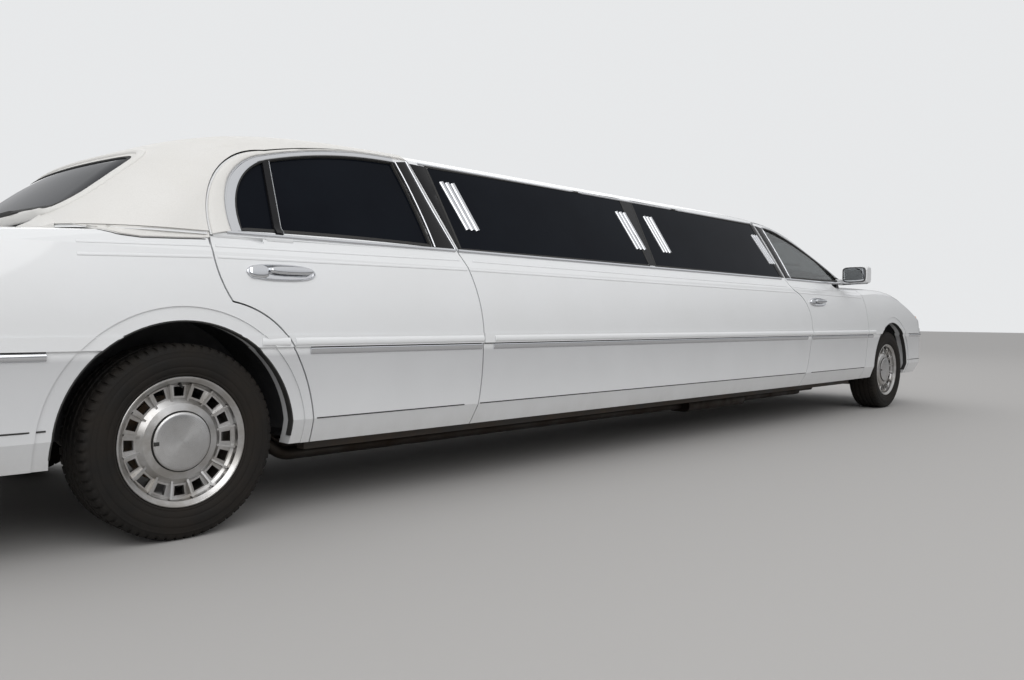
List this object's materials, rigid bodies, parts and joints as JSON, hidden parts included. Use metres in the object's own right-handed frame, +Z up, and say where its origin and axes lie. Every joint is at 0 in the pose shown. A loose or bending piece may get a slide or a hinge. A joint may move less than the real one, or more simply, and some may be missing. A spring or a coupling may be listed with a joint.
{
  "type": "stretch limousine",
  "caption": "Long-wheelbase saloon with hinged doors, hood and boot lid, steered front wheels and turning road wheels.",
  "frame": {"origin": "on the ground under the middle of the length, on the centreline", "axes": "+X forward along the car, +Y to its left, +Z up"},
  "size_m": [8.7728, 2.31, 1.4996],
  "materials": {
    "white_paint": "gloss",
    "vinyl": "grained",
    "chrome": "polished",
    "alloy": "brushed",
    "tyre": "matt",
    "dark_glass": "polished",
    "clear_glass": "polished",
    "lamp_clear": "polished",
    "lamp_red": "polished",
    "frame_steel": "satin black",
    "cast_iron": "raw",
    "exhaust_steel": "dull",
    "seat_leather": "soft",
    "trim_plastic": "fine grain"
  },
  "bodies": {
    "body": {"floor_pan": "frame_steel", "wheel_houses": "trim_plastic", "frame_rails": "frame_steel", "cowl": "white_paint", "front_fender_left": "white_paint", "front_fender_right": "white_paint", "rear_quarter_left": "white_paint", "rear_quarter_right": "white_paint", "centre_side_left": "white_paint", "centre_side_right": "white_paint", "roof": "white_paint", "vinyl_top": "vinyl", "deck_panel": "white_paint", "front_bumper": "white_paint", "rear_bumper": "white_paint", "grille": "chrome", "headlamps": "lamp_clear", "tail_lamps": "lamp_red", "windshield": "clear_glass", "backlight": "dark_glass", "centre_glass": "dark_glass", "engine_block": "cast_iron", "radiator": "frame_steel", "rear_axle": "cast_iron", "exhaust": "exhaust_steel", "fuel_tank": "frame_steel", "front_seats": "seat_leather", "side_bench": "seat_leather", "rear_seat": "seat_leather", "dashboard": "trim_plastic"},
    "hood": {"hood": "white_paint"},
    "boot_lid": {"boot_lid": "white_paint"},
    "steering_wheel": {"steering_wheel": "trim_plastic"},
    "front_door_left": {"front_door_left": "white_paint", "front_door_glass_left": "clear_glass", "front_handle_left": "chrome"},
    "rear_door_left": {"rear_door_left": "white_paint", "rear_door_glass_left": "dark_glass", "rear_handle_left": "chrome"},
    "knuckle_left": {"knuckle_left": "cast_iron"},
    "front_wheel_left": {"front_wheel_left": "alloy", "front_tyre_left": "tyre"},
    "rear_wheel_left": {"rear_wheel_left": "alloy", "rear_tyre_left": "tyre"},
    "front_door_right": {"front_door_right": "white_paint", "front_door_glass_right": "clear_glass", "front_handle_right": "chrome"},
    "rear_door_right": {"rear_door_right": "white_paint", "rear_door_glass_right": "dark_glass", "rear_handle_right": "chrome"},
    "knuckle_right": {"knuckle_right": "cast_iron"},
    "front_wheel_right": {"front_wheel_right": "alloy", "front_tyre_right": "tyre"},
    "rear_wheel_right": {"rear_wheel_right": "alloy", "rear_tyre_right": "tyre"}
  },
  "joints": [
    {"name": "front_door_left_hinge", "type": "hinge", "parent": "body", "child": "front_door_left", "pos_m": [2.748, 0.99, 0.7], "axis": [0, 0, -1], "range_deg": [0, 64]},
    {"name": "rear_door_left_hinge", "type": "hinge", "parent": "body", "child": "rear_door_left", "pos_m": [-1.616, 0.99, 0.7], "axis": [0, 0, -1], "range_deg": [0, 64]},
    {"name": "steer_left", "type": "hinge", "parent": "body", "child": "knuckle_left", "pos_m": [3.3305, 0.716, 0.331], "axis": [0, 0, 1], "range_deg": [-33, 33]},
    {"name": "front_wheel_left_spin", "type": "hinge", "parent": "knuckle_left", "child": "front_wheel_left", "pos_m": [3.3305, 0.805, 0.331], "axis": [0, 1, 0], "continuous": true},
    {"name": "rear_wheel_left_spin", "type": "hinge", "parent": "body", "child": "rear_wheel_left", "pos_m": [-2.9615, 0.8295, 0.331], "axis": [0, 1, 0], "continuous": true},
    {"name": "front_door_right_hinge", "type": "hinge", "parent": "body", "child": "front_door_right", "pos_m": [2.748, -0.99, 0.7], "axis": [0, 0, 1], "range_deg": [0, 64]},
    {"name": "rear_door_right_hinge", "type": "hinge", "parent": "body", "child": "rear_door_right", "pos_m": [-1.616, -0.99, 0.7], "axis": [0, 0, 1], "range_deg": [0, 64]},
    {"name": "steer_right", "type": "hinge", "parent": "body", "child": "knuckle_right", "pos_m": [3.3305, -0.716, 0.331], "axis": [0, 0, 1], "range_deg": [-33, 33]},
    {"name": "front_wheel_right_spin", "type": "hinge", "parent": "knuckle_right", "child": "front_wheel_right", "pos_m": [3.3305, -0.805, 0.331], "axis": [0, 1, 0], "continuous": true},
    {"name": "rear_wheel_right_spin", "type": "hinge", "parent": "body", "child": "rear_wheel_right", "pos_m": [-2.9615, -0.8295, 0.331], "axis": [0, 1, 0], "continuous": true},
    {"name": "hood_hinge", "type": "hinge", "parent": "body", "child": "hood", "pos_m": [2.57, 0, 1.046], "axis": [0, -1, 0], "range_deg": [0, 48]},
    {"name": "boot_lid_hinge", "type": "hinge", "parent": "body", "child": "boot_lid", "pos_m": [-3.462, 0, 1.062], "axis": [0, 1, 0], "range_deg": [0, 74]},
    {"name": "steering_wheel_turn", "type": "hinge", "parent": "body", "child": "steering_wheel", "pos_m": [1.88, 0.372, 0.925], "axis": [-0.9063, 0, 0.4226], "range_deg": [-500, 500]}
  ],
  "couplings": [
    {"joint": "steer_right", "follows": "steer_left", "ratio": 1},
    {"joint": "steering_wheel_turn", "follows": "steer_left", "ratio": 15}
  ]
}
